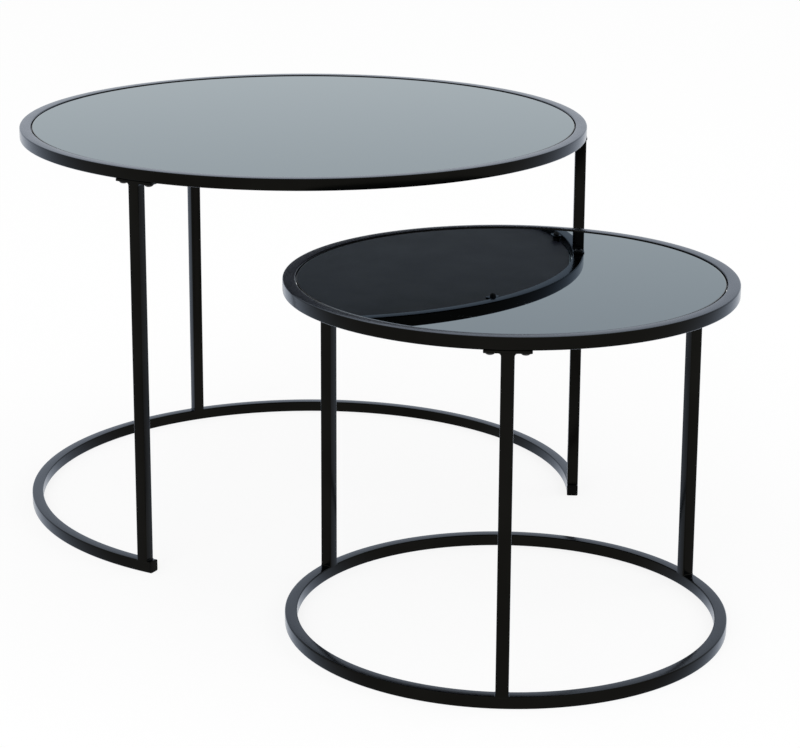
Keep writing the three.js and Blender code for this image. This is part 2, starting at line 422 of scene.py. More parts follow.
def makeMouldGrain():
    # fine spark grain of a moulded or ground surface
    group, given, out = effectGroup(
        "mouldGrain", {"Grain Scale": 1800.0, "Cloud Scale": 60.0}, ("Tone", "Gloss", "Height")
    )
    place = objectPlace(group)
    pits = node(group, "ShaderNodeTexVoronoi", feature="SMOOTH_F1")
    feed(group, pits.inputs["Vector"], place)
    feed(group, pits.inputs["Scale"], given["Grain Scale"])
    clouds = noise(group, place, given["Cloud Scale"], 3.0, 0.6)
    feed(group, out["Height"], pits.outputs["Distance"])
    feed(group, out["Tone"], ranged(group, clouds, 0.3, 0.7, 0.0, 1.0))
    softPart = maths(group, "MULTIPLY", clouds, 0.6)
    sharpPart = maths(group, "MULTIPLY", pits.outputs["Distance"], 0.4)
    mixed = maths(group, "ADD", softPart, sharpPart)
    feed(group, out["Gloss"], ranged(group, mixed, 0.25, 0.65, 0.0, 1.0))
    return group


def makeWipeMarks():
    # long faint arcs that a cloth leaves on polished glass
    group, given, out = effectGroup("wipeMarks", {"Stretch": 26.0, "Scale": 3.0}, ("Mask",))
    place = objectPlace(group)
    turnedPlace = node(group, "ShaderNodeMapping")
    turnedPlace.inputs["Rotation"].default_value = (0, 0, math.radians(34))
    feed(group, turnedPlace.inputs["Vector"], place)
    split = node(group, "ShaderNodeSeparateXYZ")
    feed(group, split.inputs[0], turnedPlace.outputs[0])
    bow = maths(group, "MULTIPLY", maths(group, "MULTIPLY", split.outputs["X"], split.outputs["X"]), 0.6)
    bowed = maths(group, "ADD", split.outputs["Y"], bow)
    stretched = node(group, "ShaderNodeCombineXYZ")
    feed(group, stretched.inputs["X"], split.outputs["X"])
    feed(group, stretched.inputs["Y"], maths(group, "MULTIPLY", bowed, given["Stretch"]))
    streaks = noise(group, stretched.outputs[0], given["Scale"], 5.0, 0.65)
    patches = noise(group, place, 4.0, 2.0, 0.5)
    lines = ranged(group, streaks, 0.5, 0.72, 0.0, 1.0, True)
    wiped = ranged(group, patches, 0.4, 0.6, 0.0, 1.0, True)
    feed(group, out["Mask"], maths(group, "MULTIPLY", lines, wiped))
    return group


effects = {
    "coatPeel": makeCoatPeel(),
    "edgeWear": makeEdgeWearAndSheen(),
    "dustFilm": makeDustFilm(),
    "mouldGrain": makeMouldGrain(),
    "wipeMarks": makeWipeMarks(),
}


def placedEffect(tree, name, **values):
    made = node(tree, "ShaderNodeGroup", node_tree=effects[name])
    for label, value in values.items():
        made.inputs[label.replace("_", " ")].default_value = value
    return made.outputs


def startMaterial(name):
    material = bpy.data.materials.new(name)
    material.use_nodes = True
    tree = material.node_tree
    tree.nodes.clear()
    shader = node(tree, "ShaderNodeBsdfPrincipled")
    tree.links.new(shader.outputs[0], node(tree, "ShaderNodeOutputMaterial").inputs["Surface"])
    return material, tree, shader


def bumped(tree, shader, height, depth):
    made = node(tree, "ShaderNodeBump")
    made.inputs["Strength"].default_value = 1.0
    made.inputs["Distance"].default_value = depth
    feed(tree, made.inputs["Height"], height)
    feed(tree, shader.inputs["Normal"], made.outputs[0])


satinCoat = {
    "colour": (0.0062, 0.0060, 0.0052, 1),
    "paleColour": (0.0090, 0.0088, 0.0078, 1),
    # paler edges: rubbed film, and a painted highlight along the edges
    "edgeWearSheenColour": (0.030, 0.031, 0.033, 1),
    "dustColour": (0.10, 0.10, 0.10, 1),
    "glanceTint": (0.84, 0.90, 1.0, 1),
    "roughness": (0.15, 0.20),
    "drySpray": 0.34,        # roughness added inside the top rings
    "dustRoughness": 0.5,    # roughness added where dust lies
    "dimpleDepth": 0.000008,
}


def makeSatinCoat(name, added):
    # a thin black film on steel: near black face on, and a pale sheen along it
    material, tree, shader = startMaterial(name)
    coat = placedEffect(tree, "coatPeel")
    wearAndSheen = placedEffect(tree, "edgeWear", Width=0.0011, Amount=0.4)
    dust = placedEffect(tree, "dustFilm", Film=0.03, Flecks=0.25)
    tone = blended(tree, coat["Tone"], satinCoat["colour"], satinCoat["paleColour"])
    # edges turn paler: partly rubbed film, partly a painted highlight along them
    wornAndSheenEdged = blended(tree, wearAndSheen["Mask"], tone, satinCoat["edgeWearSheenColour"])
    dusty = blended(tree, dust["Mask"], wornAndSheenEdged, satinCoat["dustColour"])
    feed(tree, shader.inputs["Base Color"], dusty)
    low, high = satinCoat["roughness"]
    gloss = ranged(tree, coat["Gloss"], 0.0, 1.0, low + added, high + added)
    dulled = maths(tree, "MULTIPLY", dust["Mask"], satinCoat["dustRoughness"])
    feed(tree, shader.inputs["Roughness"], maths(tree, "ADD", gloss, dulled))
    feed(tree, shader.inputs["Metallic"], maths(tree, "SUBTRACT", 1.0, dust["Mask"]))
    shader.inputs["Specular Tint"].default_value = satinCoat["glanceTint"]
    bumped(tree, shader, coat["Height"], satinCoat["dimpleDepth"])
    return material


screwZinc = {
    "colour": (0.012, 0.012, 0.0125, 1),
    "paleColour": (0.026, 0.026, 0.027, 1),
    # paler edges: worn plating, and a painted highlight along the edges
    "edgeWearSheenColour": (0.16, 0.16, 0.165, 1),
    "metallic": 0.7,
    "roughness": (0.24, 0.38),
    "grainDepth": 0.000006,
}


def makeScrewZinc():
    material, tree, shader = startMaterial("blackZincPlate")
    coat = placedEffect(tree, "coatPeel", Dimple_Scale=1400.0, Grain_Scale=6000.0, Tone_Scale=120.0)
    wearAndSheen = placedEffect(tree, "edgeWear", Width=0.0005, Break_Scale=900.0, Amount=0.55)
    tone = blended(tree, coat["Tone"], screwZinc["colour"], screwZinc["paleColour"])
    # edges turn paler: partly worn plating, partly a painted highlight
    feed(tree, shader.inputs["Base Color"], blended(tree, wearAndSheen["Mask"], tone, screwZinc["edgeWearSheenColour"]))
    low, high = screwZinc["roughness"]
    feed(tree, shader.inputs["Roughness"], ranged(tree, coat["Gloss"], 0.0, 1.0, low, high))
    shader.inputs["Metallic"].default_value = screwZinc["metallic"]
    bumped(tree, shader, coat["Height"], screwZinc["grainDepth"])
    return material


smokedGlass = {
    "colour": (0.057, 0.065, 0.095, 1),
    "glanceTint": (0.89, 0.98, 1.0, 1),
    "dustColour": (0.085, 0.09, 0.10, 1),
    "roughness": 0.004,
    "wipeRoughness": 0.03,
}


def makeSmokedGlass():
    # dark back-painted glass: it shows nothing of what is under it, and shines as polished glass does
    material, tree, shader = startMaterial("smokedBlackGlass")
    wipes = placedEffect(tree, "wipeMarks")
    dust = placedEffect(tree, "dustFilm", Film=0.02, Flecks=0.2, Fleck_Scale=420.0)
    dusty = blended(tree, dust["Mask"], smokedGlass["colour"], smokedGlass["dustColour"])
    feed(tree, shader.inputs["Base Color"], dusty)
    hazed = maths(tree, "MULTIPLY", wipes["Mask"], smokedGlass["wipeRoughness"])
    feed(tree, shader.inputs["Roughness"], maths(tree, "ADD", hazed, smokedGlass["roughness"]))
    shader.inputs["Metallic"].default_value = 1.0
    shader.inputs["Specular Tint"].default_value = smokedGlass["glanceTint"]
    return material


slatePaint = {
    "colour": (0.040, 0.040, 0.057, 1),
    "paleColour": (0.045, 0.045, 0.064, 1),
    "roughness": (0.43, 0.48),
    "ior": 1.28,
    "rollerDepth": 0.000008,
}


def makeSlatePaint():
    material, tree, shader = startMaterial("slateBackPaint")
    coat = placedEffect(tree, "coatPeel", Dimple_Scale=300.0, Grain_Share=0.5, Tone_Scale=5.0)
    tone = blended(tree, coat["Tone"], slatePaint["colour"], slatePaint["paleColour"])
    feed(tree, shader.inputs["Base Color"], tone)
    low, high = slatePaint["roughness"]
    feed(tree, shader.inputs["Roughness"], ranged(tree, coat["Gloss"], 0.0, 1.0, low, high))
    shader.inputs["IOR"].default_value = slatePaint["ior"]
    bumped(tree, shader, coat["Height"], slatePaint["rollerDepth"])
    return material


groundEdgeAndGapShade = {
    # near black: painted shade for the gap between the glass and the ring
    "colour": (0.006, 0.0075, 0.008, 1),
    "paleColour": (0.014, 0.017, 0.018, 1),
    "roughness": (0.22, 0.4),
    "grainDepth": 0.000008,
}


def makeGroundEdgeAndGapShade():
    # the ground rim of the glass, greyer than its face; its near-black colour is painted shade that keeps
    # the gap between glass and ring dark
    material, tree, shader = startMaterial("groundGlassEdge")
    grain = placedEffect(tree, "mouldGrain", Grain_Scale=3500.0, Cloud_Scale=40.0)
    tone = blended(tree, grain["Tone"], groundEdgeAndGapShade["colour"], groundEdgeAndGapShade["paleColour"])
    feed(tree, shader.inputs["Base Color"], tone)
    low, high = groundEdgeAndGapShade["roughness"]
    feed(tree, shader.inputs["Roughness"], ranged(tree, grain["Gloss"], 0.0, 1.0, low, high))
    bumped(tree, shader, grain["Height"], groundEdgeAndGapShade["grainDepth"])
    return material


plugPlastic = {
    "colour": (0.0022, 0.0022, 0.0022, 1),
    "paleColour": (0.0040, 0.0040, 0.0039, 1),
    # paler edges: rubbed plastic, and a painted highlight along the edges
    "edgeWearSheenColour": (0.012, 0.012, 0.0115, 1),
    "roughness": (0.5, 0.62),
    "ior": 1.12,
    "grainDepth": 0.00001,
}


def makePlugPlastic():
    material, tree, shader = startMaterial("blackPlugPlastic")
    grain = placedEffect(tree, "mouldGrain", Grain_Scale=2600.0, Cloud_Scale=120.0)
    wearAndSheen = placedEffect(tree, "edgeWear", Width=0.0006, Break_Scale=400.0, Amount=0.5)
    tone = blended(tree, grain["Tone"], plugPlastic["colour"], plugPlastic["paleColour"])
    # edges turn paler: partly rubbed plastic, partly a painted highlight
    feed(tree, shader.inputs["Base Color"], blended(tree, wearAndSheen["Mask"], tone, plugPlastic["edgeWearSheenColour"]))
    low, high = plugPlastic["roughness"]
    feed(tree, shader.inputs["Roughness"], ranged(tree, grain["Gloss"], 0.0, 1.0, low, high))
    shader.inputs["IOR"].default_value = plugPlastic["ior"]
    bumped(tree, shader, grain["Height"], plugPlastic["grainDepth"])
    return material


softRubber = {
    "colour": (0.005, 0.005, 0.005, 1),
    "paleColour": (0.012, 0.012, 0.012, 1),
    "dustColour": (0.12, 0.118, 0.112, 1),
    "roughness": (0.5, 0.72),
    "grainDepth": 0.000012,
}


def makeSoftRubber():
    material, tree, shader = startMaterial("softBlackRubber")
    grain = placedEffect(tree, "mouldGrain", Grain_Scale=3200.0, Cloud_Scale=200.0)
    dust = placedEffect(tree, "dustFilm", Film=0.1, Flecks=0.4, Fleck_Scale=2400.0)
    tone = blended(tree, grain["Tone"], softRubber["colour"], softRubber["paleColour"])
    feed(tree, shader.inputs["Base Color"], blended(tree, dust["Mask"], tone, softRubber["dustColour"]))
    low, high = softRubber["roughness"]
    feed(tree, shader.inputs["Roughness"], ranged(tree, grain["Gloss"], 0.0, 1.0, low, high))
    bumped(tree, shader, grain["Height"], softRubber["grainDepth"])
    return material


coat = makeSatinCoat("satinBlackCoat", 0.0)
dryCoat = makeSatinCoat("dryBlackCoat", satinCoat["drySpray"])
zinc = makeScrewZinc()
glassFace = makeSmokedGlass()
backPaint = makeSlatePaint()
glassRimAndGapShade = makeGroundEdgeAndGapShade()
plugBlack = makePlugPlastic()
rubber = makeSoftRubber()
print("materials made")


# Bent square tube: the two top rings and the two base rings

bentTube = {
    "corner": 0.0015,        # radius of the tube's outer edges
    "cornerSteps": 6,
    "wall": 0.0015,
    "boreCorner": 0.0004,
    "stepLength": 0.009,     # along the tube, between two cross-sections
    "stepGroup": 8,          # the steps of a ring are a multiple of this
    "endReach": 0.0001,      # from an end face to the edges that are taken as its own
    "uprightBelow": 0.2,     # a face whose normal rises less than this is a side wall
    "endPastLeg": 0.0112,    # from the middle of an end leg to the tube's end face
}


def ringSteps(plan, sweep):
    group = bentTube["stepGroup"]
    return group * round(plan["line"] * sweep / bentTube["stepLength"] / group)


def addSection(plan, side):
    # a square standing across the tube line; in edit mode it joins the open mesh
    turn = (math.pi / 2, 0, 0)
    bpy.ops.mesh.primitive_plane_add(size=side, location=(plan["line"], 0, 0), rotation=turn)


def spunSection(piece, corner, sweep, steps):
    # rounds the corners of the picked square, drops its face and spins its outline about Z
    bpy.ops.mesh.bevel(offset=corner, segments=bentTube["cornerSteps"], affect="VERTICES")
    bpy.ops.mesh.delete(type="ONLY_FACE")
    pick(piece, "edges", lambda edge: edge.is_wire)
    # a minus angle runs it anticlockwise
    bpy.ops.mesh.spin(steps=steps, angle=-sweep, center=(0, 0, 0), axis=(0, 0, 1))


def closedTube(name, plan, bottom):
    deselectAll()
    addSection(plan, plan["tube"])
    ring = named(name)
    freezePlace(ring)
    openMesh(ring)
    bpy.ops.mesh.select_all(action="SELECT")
    spunSection(ring, bentTube["corner"], fullTurn, ringSteps(plan, fullTurn))
    closeMesh()
    tidied(ring)
    return moved(ring, onTable(plan, 0, height=bottom + plan["tube"] / 2))


def openTube(name, plan, start, sweep):
    # the same tube bent through part of a turn, standing on the floor, with its bore and two end faces
    steps = ringSteps(plan, sweep)
    deselectAll()
    addSection(plan, plan["tube"])
    ring = named(name)
    freezePlace(ring)
    openMesh(ring)
    bpy.ops.mesh.select_all(action="SELECT")
    spunSection(ring, bentTube["corner"], sweep, steps)
    bpy.ops.mesh.select_all(action="DESELECT")
    addSection(plan, plan["tube"] - 2 * bentTube["wall"])
    spunSection(ring, bentTube["boreCorner"], sweep, steps)

    def isBore(face):
        place = face.calc_center_median()
        away = abs(place.to_2d().length - plan["line"])
        return max(away, abs(place.z)) < (plan["tube"] - bentTube["wall"]) / 2

    # the bore looks inwards before the ends are bridged, or the bridges cross over
    pick(ring, "faces", isBore)
    bpy.ops.mesh.flip_normals()
    for angle in (0.0, sweep):
        across = Vector((-math.sin(angle), math.cos(angle), 0))
        out = Vector((math.cos(angle), math.sin(angle), 0))

        def onEnd(edge):
            place = middle(edge)
            apart = abs(place.dot(across))
            return edge.is_boundary and apart < bentTube["endReach"] and place.dot(out) > 0

        pick(ring, "edges", onEnd)
        bpy.ops.mesh.bridge_edge_loops()
    closeMesh()
    tidied(ring)
    return moved(ring, onTable(plan, start, height=plan["tube"] / 2))


for plan in plans:
    name = plan["name"]
    ring = closedTube(name + "_top_ring", plan, plan["ringBottom"])
    finished(ring, [coat, dryCoat], plan["body"], [name + "_top_frame"])
    for face in ring.data.polygons:
        # the wall that looks at the glass's rim
        away = face.center - plan["centre"]
        upright = abs(face.normal.z) < bentTube["uprightBelow"]
        if upright and away.to_2d().length < plan["line"]:
            face.material_index = 1

largePlan, smallPlan = plans
pastLeg = bentTube["endPastLeg"] / largePlan["line"]
ringStart = largePlan["legs"][0] - pastLeg
ringSweep = (largePlan["legs"][2] - largePlan["legs"][0]) % fullTurn + 2 * pastLeg
largeBase = openTube("large_base_tube", largePlan, ringStart, ringSweep)
finished(largeBase, [coat], largePlan["body"], ["large_base_ring"])
smallBase = closedTube("small_base_tube", smallPlan, 0.0)
finished(smallBase, [coat], smallPlan["body"], ["small_base_ring"])
print("rings bent")


# End plugs of the open base ring

endPlug = {
    "flange": (0.0003, 0.0018),     # its two faces, from the tube's end face outwards
    "flangeEdge": 0.0003,
    "flangeSteps": 3,
    "sleeveSide": 0.0100,
    "ribSide": 0.0106,
    "ribs": (-0.0022, -0.0042, -0.0062),
    "ribHeight": 0.0008,
    "ribCrest": 0.4,         # share of a rib's half height that is straight
    "sleeveEnd": -0.0080,
    "sleeveWall": 0.0016,
    "hollowDepth": 0.0070,
}


def makePlug(name):
    # outer face first, then round the flange and down the ribbed sleeve, and back up inside it
    side = largePlan["tube"]
    back, front = endPlug["flange"]
    edge = endPlug["flangeEdge"]
    sleeve, ribs = endPlug["sleeveSide"], endPlug["ribSide"]
    rows = [(side - 2 * edge, front)]
    for step in range(1, endPlug["flangeSteps"] + 1):
        angle = step / endPlug["flangeSteps"] * math.pi / 2
        rows.append((side - 2 * edge * (1 - math.sin(angle)), front - edge * (1 - math.cos(angle))))
    rows += [(side, back), (sleeve, back)]
    for height in endPlug["ribs"]:
        half = endPlug["ribHeight"] / 2
        rows += [(sleeve, height + half), (ribs, height + half * endPlug["ribCrest"])]
        rows += [(ribs, height), (sleeve, height - half)]
    rows.append((sleeve, endPlug["sleeveEnd"]))
    deselectAll()
    bpy.ops.mesh.primitive_plane_add(size=rows[0][0], location=(0, 0, front))
    plug = named(name)
    freezePlace(plug)
    openMesh(plug)
    bpy.ops.mesh.select_all(action="SELECT")
    corner = bentTube["corner"]
    bpy.ops.mesh.bevel(offset=corner, segments=bentTube["cornerSteps"], affect="VERTICES")
    pick(plug, "faces", lambda face: True)
    stacked(rows, rows[0][0])
    pick(plug, "faces", lambda face: near(face.calc_center_median().z, endPlug["sleeveEnd"]))
    bpy.ops.mesh.inset(thickness=endPlug["sleeveWall"])
    extruded(z=endPlug["hollowDepth"])
    closeMesh()
    return tidied(plug, sharpDegrees=30)


for letter, angle, side in (("a", ringStart, -1), ("b", ringStart + ringSweep, 1)):
    plug = makePlug("large_end_plug_" + letter)
    seat = onTable(largePlan, angle, radius=largePlan["line"], height=largePlan["tube"] / 2)
    moved(plug, seat @ Matrix.Rotation(-side * math.pi / 2, 4, "X"))
    finished(plug, [plugBlack], largePlan["body"], ["large_base_plug_" + letter])
print("plugs moulded")


# Legs: square tube that flares into its welds at the plate and at the base ring

legTube = {
    "side": 0.0140,
    "corner": 0.0015,
    "cornerSteps": 5,
    "wall": 0.0012,
    "plateWeld": 0.0035,
    "footWeld": 0.0010,
    "footSink": 0.0015,      # the foot is shaped down round the ring's rounded edges
    "weldSteps": 8,
    "drawSteps": 10,         # along the plain part of the leg
}


def weldRows(size, foot, rising):
    # half widths and heights of one concave weld, from its wide end to the plain tube
    half = legTube["side"] / 2
    rows = []
    for step in range(legTube["weldSteps"] + 1):
        angle = step / legTube["weldSteps"] * math.pi / 2
        rows.append((half + size * (1 - math.sin(angle)), foot + rising * size * (1 - math.cos(angle))))
    return rows


def flaredRows(bottom, top):
    rows = weldRows(legTube["footWeld"], bottom, 1)
    rows.insert(0, (rows[0][0], bottom - legTube["footSink"]))
    plainLow = bottom + legTube["footWeld"]
    plainHigh = top - legTube["plateWeld"]
    for step in range(1, legTube["drawSteps"]):
        height = plainLow + (plainHigh - plainLow) * step / legTube["drawSteps"]
        rows.append((legTube["side"] / 2, height))
    return rows + weldRows(legTube["plateWeld"], top, -1)[::-1]


def boreEnd(piece, height, half):
    # opens one end face of the leg on its straight bore
    wall = legTube["wall"]

    def isEnd(face):
        return near(face.calc_center_median().z, height) and liesFlat(face)

    pick(piece, "faces", isEnd)
    bpy.ops.mesh.inset(thickness=wall)
    resized(1, (legTube["side"] / 2 - wall) / (half - wall), 1, (0, 0, height))
    bpy.ops.mesh.delete(type="FACE")


def makeLeg(name, bottom, top):
    deselectAll()
    rows = flaredRows(bottom, top)
    bottom = rows[0][1]
    bpy.ops.mesh.primitive_plane_add(size=legTube["side"], location=(0, 0, bottom))
    piece = named(name)
    freezePlace(piece)
    openMesh(piece)
    bpy.ops.mesh.select_all(action="SELECT")
    bpy.ops.mesh.bevel(offset=legTube["corner"], segments=legTube["cornerSteps"], affect="VERTICES")
    pick(piece, "faces", lambda face: True)
    half, height = legTube["side"] / 2, bottom
    firstHalf = rows[0][0]
    resized(1, firstHalf / half, 1, (0, 0, bottom))
    half = firstHalf
    for newHalf, newHeight in rows[1:]:
        extruded(z=newHeight - height)
        resized(1, newHalf / half, 1, (0, 0, newHeight))
        half, height = newHalf, newHeight
    boreEnd(piece, top, rows[-1][0])
    boreEnd(piece, bottom, firstHalf)
    pick(piece, "edges", lambda edge: edge.is_boundary)
    bpy.ops.mesh.bridge_edge_loops()
    closeMesh()
    return tidied(piece, sharpDegrees=40)


# Leg plates and their screws

legPlate = {
    "length": 0.050,
    "corner": 0.0016,
    "cornerSteps": 4,
    "edge": 0.00035,
    "edgeSteps": 2,
    "screwSpacing": 0.036,
    "hole": 0.0066,
    "holeSides": 48,
    "drillLength": 0.02,
}

domeScrew = {
    "shank": 0.0060,
    "threadDepth": 0.0007,
    "pitch": 0.0010,
    "head": 0.0105,
    "headEdge": 0.0005,
    "socket": 0.0040,        # across its flats
    "socketDepth": 0.0019,
    "sides": 40,
    "domeSteps": 8,
    "tipShare": 0.8,         # of the root's radius, at the tip
    "neckShare": 0.96,       # of the shank's radius, under the head
    "neckRise": 0.3,         # height of that neck, in pitches
    "cornerShare": 0.3,      # of headEdge, at the small corner under the head
    "turnByLeg": 97,         # degrees that a socket is turned from one leg to the next
    "turnBySide": 41,        # and to each side of a leg
}


def makePlate(name, bottom, top):
    deselectAll()
    bpy.ops.mesh.primitive_cube_add(size=1, location=(0, 0, (bottom + top) / 2))
    plate = named(name)
    plate.scale = (legTube["side"], legPlate["length"], top - bottom)
    freezePlace(plate)
    openMesh(plate)
    pick(plate, "edges", lambda edge: runsAlong(edge, 2))
    bpy.ops.mesh.bevel(offset=legPlate["corner"], segments=legPlate["cornerSteps"], affect="EDGES")
    pick(plate, "edges", isLevel)
    bpy.ops.mesh.bevel(offset=legPlate["edge"], segments=legPlate["edgeSteps"], affect="EDGES")
    closeMesh()
    for side in (-1, 1):
        place = (0, side * legPlate["screwSpacing"] / 2, (bottom + top) / 2)
        radius = legPlate["hole"] / 2
        bpy.ops.mesh.primitive_cylinder_add(
            vertices=legPlate["holeSides"], radius=radius, depth=legPlate["drillLength"], location=place
        )
        drill = named("plateDrill")
        freezePlace(drill)
        cutBy(plate, drill)
    return tidied(plate, sharpDegrees=30)


def threadRows(low, high):
    # rows down a threaded shank: crest and root by turns
    radius = domeScrew["shank"] / 2
    root = radius - domeScrew["threadDepth"]
    rows = [(root * domeScrew["tipShare"], high), (root, high - domeScrew["pitch"] / 2)]
    height = high - domeScrew["pitch"]
    while height > low + domeScrew["pitch"]:
        rows += [(radius, height), (root, height - domeScrew["pitch"] / 2)]
        height -= domeScrew["pitch"]
    neck = radius * domeScrew["neckShare"]
    return rows + [(neck, low + domeScrew["pitch"] * domeScrew["neckRise"]), (neck, low)]


def makeScrew(name, seat, headBottom, tip):
    # from the tip down the thread to the seat, round the dome, then the hexagon socket is cut
    radius = domeScrew["head"] / 2
    edge = domeScrew["headEdge"]
    rows = threadRows(seat, tip)
    corner = edge * domeScrew["cornerShare"]
    rows += [(radius - corner, seat), (radius, seat - corner), (radius, seat - edge)]
    rows += arcRows(radius, seat - edge - headBottom, seat - edge, domeScrew["domeSteps"], -1)[1:]
    screw = turnedPiece(name, rows, domeScrew["sides"])
    across = domeScrew["socket"] / math.sqrt(3)
    depth = domeScrew["socketDepth"]
    place = (0, 0, headBottom)
    bpy.ops.mesh.primitive_cylinder_add(vertices=6, radius=across, depth=2 * depth, location=place)
    socket = named("socketDrill")
    freezePlace(socket)
    cutBy(screw, socket)
    return tidied(screw, sharpDegrees=40)


def placeLegs(plan):
    name = plan["name"]
    baseTop = plan["tube"]
    leg = makeLeg(name + "_leg_model", baseTop, plan["plateBottom"])
    plate = makePlate(name + "_plate_model", plan["plateBottom"], plan["plateTop"])
    screw = makeScrew(name + "_screw_model", plan["plateBottom"], plan["screwHeadBottom"], plan["screwTip"])
    for number, angle in enumerate(plan["legs"], 1):
        seat = onTable(plan, angle, radius=plan["line"])
        tube = copied(leg, f"{name}_leg_tube_{number}", seat)
        finished(tube, [coat], plan["body"], [f"{name}_leg_{number}"])
        bar = copied(plate, f"{name}_plate_bar_{number}", seat)
        finished(bar, [coat], plan["body"], [f"{name}_leg_plate_{number}"])
        for side, letter in ((-1, "a"), (1, "b")):
            # every socket stands at its own angle
            degrees = domeScrew["turnByLeg"] * number + domeScrew["turnBySide"] * side
            turn = Matrix.Rotation(math.radians(degrees), 4, "Z")
            along = side * legPlate["screwSpacing"] / 2
            stand = onTable(plan, angle, radius=plan["line"], along=along)
            bolt = copied(screw, f"{name}_dome_screw_{number}{letter}", stand @ turn)
            finished(bolt, [zinc], plan["body"], [f"{name}_plate_screw_{number}{letter}"])
    for model in (leg, plate, screw):
        drop(model)


for plan in plans:
    placeLegs(plan)
print("legs, plates and screws placed")


# Glass seats: a pierced tab welded in the ring, and the soft bumper that snaps into it

glassTab = {
    "width": 0.016,
    "length": 0.012,
    "weldIn": 0.0006,        # past the ring's inner face
    "thickness": 0.0025,
    "lift": 0.0005,          # of its lower face above the ring's
    "corner": 0.003,
    "cornerSteps": 8,
    "edge": 0.0003,
    "edgeSteps": 2,
    "hole": 0.0050,
    "bead": 0.0011,          # radius of the weld bead
    "beadLength": 0.0145,
    "beadSides": 14,
    "beadSink": 0.0004,
    "scallops": 11,
    "scallopSteps": 4,
    "scallopDepth": 0.14,    # share of the bead's radius
    "beadTip": 0.45,         # share of its radius at its ends
    "beadTaper": 10,         # how fast it swells from there
    "holeSides": 40,
    "drillLength": 0.01,
}

bumper = {
    "head": 0.0090,
    "headEdge": 0.0006,
    "stem": 0.0044,
    "tail": 0.0076,
    "tailSteps": 9,
    "play": 0.0003,
    "sides": 40,
    "cornerShare": 0.3,      # of headEdge, at the head's small corners
}


def makeBead(name):
    # a run of overlapping weld scallops along Y
    count = glassTab["scallops"] * glassTab["scallopSteps"]
    length, depth = glassTab["beadLength"], glassTab["scallopDepth"]
    rows = []
    for step in range(count + 1):
        share = step / count
        swell = 1 - depth + depth * abs(math.sin(share * glassTab["scallops"] * math.pi))
        ends = min(1.0, glassTab["beadTip"] + glassTab["beadTaper"] * min(share, 1 - share))
        rows.append((glassTab["bead"] * swell * ends, (share - 0.5) * length))
    bead = turnedPiece(name, rows, glassTab["beadSides"])
    return moved(bead, Matrix.Rotation(math.pi / 2, 4, "X"))


def makeTab(name, bottom):
    # its hole is on the Z axis, and the ring's inner face is half its length along +X
    half = glassTab["length"] / 2
    size = (glassTab["length"] + glassTab["weldIn"], glassTab["width"], glassTab["thickness"])
    deselectAll()
    middleHeight = bottom + glassTab["thickness"] / 2
    bpy.ops.mesh.primitive_cube_add(size=1, location=(glassTab["weldIn"] / 2, 0, middleHeight))
    tab = named(name)
    tab.scale = size
    freezePlace(tab)
    openMesh(tab)
    pick(tab, "edges", lambda edge: runsAlong(edge, 2) and middle(edge).x < 0)
    bpy.ops.mesh.bevel(offset=glassTab["corner"], segments=glassTab["cornerSteps"], affect="EDGES")
    pick(tab, "edges", lambda edge: not runsAlong(edge, 2) and middle(edge).x < half)
    bpy.ops.mesh.bevel(offset=glassTab["edge"], segments=glassTab["edgeSteps"], affect="EDGES")
    closeMesh()
    place = (0, 0, middleHeight)
    bpy.ops.mesh.primitive_cylinder_add(
        vertices=glassTab["holeSides"], radius=glassTab["hole"] / 2, depth=glassTab["drillLength"],
        location=place,
    )
    drill = named("tabDrill")
    freezePlace(drill)
    cutBy(tab, drill)
    for height in (bottom + glassTab["beadSink"], bottom + glassTab["thickness"]):
        bead = makeBead(name + "_bead")
        moved(bead, Matrix.Translation((half - glassTab["beadSink"], 0, height)))
        grownBy(tab, bead)
    return tidied(tab)


def makeBumper(name, plan, tabBottom):
    tabTop = tabBottom + glassTab["thickness"]
    tailSeat = tabBottom - bumper["play"]
    radius = bumper["head"] / 2
    edge = bumper["headEdge"]
    top = plan["bumperTop"]
    tailHeight = tailSeat - plan["bumperBottom"]
    rows = arcRows(bumper["tail"] / 2, tailHeight, tailSeat, bumper["tailSteps"], -1)[::-1]
    rows += [(bumper["stem"] / 2, tailSeat), (bumper["stem"] / 2, tabTop)]
    corner = edge * bumper["cornerShare"]
    rows += [(radius - corner, tabTop), (radius, tabTop + corner), (radius, top - edge)]
    rows += [(radius - corner, top - corner), (radius - edge, top)]
    return tidied(turnedPiece(name, rows, bumper["sides"]), sharpDegrees=40)


def placeSeats(plan):
    name = plan["name"]
    tabBottom = plan["ringBottom"] + glassTab["lift"]
    tab = makeTab(name + "_tab_model", tabBottom)
    stud = makeBumper(name + "_bumper_model", plan, tabBottom)
    for number, angle in enumerate(plan["bumpers"], 1):
        seat = onTable(plan, angle, radius=plan["bumperRadius"])
        shelf = copied(tab, f"{name}_glass_tab_{number}", seat)
        finished(shelf, [coat], plan["body"], [name + "_top_frame"])
        rest = copied(stud, f"{name}_bumper_{number}", seat)
        finished(rest, [rubber], plan["body"], [f"{name}_glass_bumper_{number}"])
    for model in (tab, stud):
        drop(model)


for plan in plans:
    placeSeats(plan)
print("glass seats placed")


# Glass tops

glassDisc = {
    "sides": 256,
    "arris": 0.0006,
    "arrisSteps": 2,
    "paintMargin": 0.0015,   # of clear back left inside the rim
    "innerInset": 0.5,       # of the radius, from there to the ring of edges inside the flat
}


